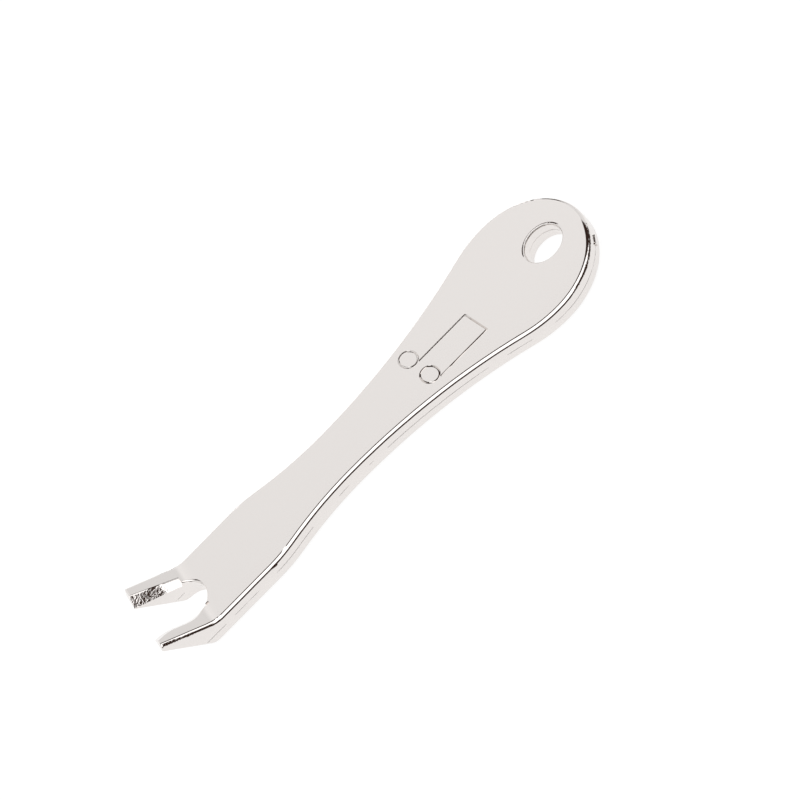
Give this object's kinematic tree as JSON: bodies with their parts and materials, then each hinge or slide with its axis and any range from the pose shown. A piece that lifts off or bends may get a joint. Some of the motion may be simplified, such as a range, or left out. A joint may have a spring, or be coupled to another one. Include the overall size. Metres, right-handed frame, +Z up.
{
  "type": "bridge pin puller",
  "caption": "Flat waisted pin puller for acoustic guitar bridges: an upturned fork that levers a pin out, and a round head with a key ring hole.",
  "frame": {"origin": "bottom centre of the bounding box: on the surface that the flat underside rests on", "axes": "+X along the plate from the fork to the round head, +Z up out of the engraved face, +Y completes the frame"},
  "size_m": [0.0748, 0.0206, 0.0065],
  "materials": {
    "nickel_plate": "bright nickel plate on a zinc casting"
  },
  "bodies": {
    "root": {"pin_puller": "nickel_plate"}
  },
  "joints": []
}
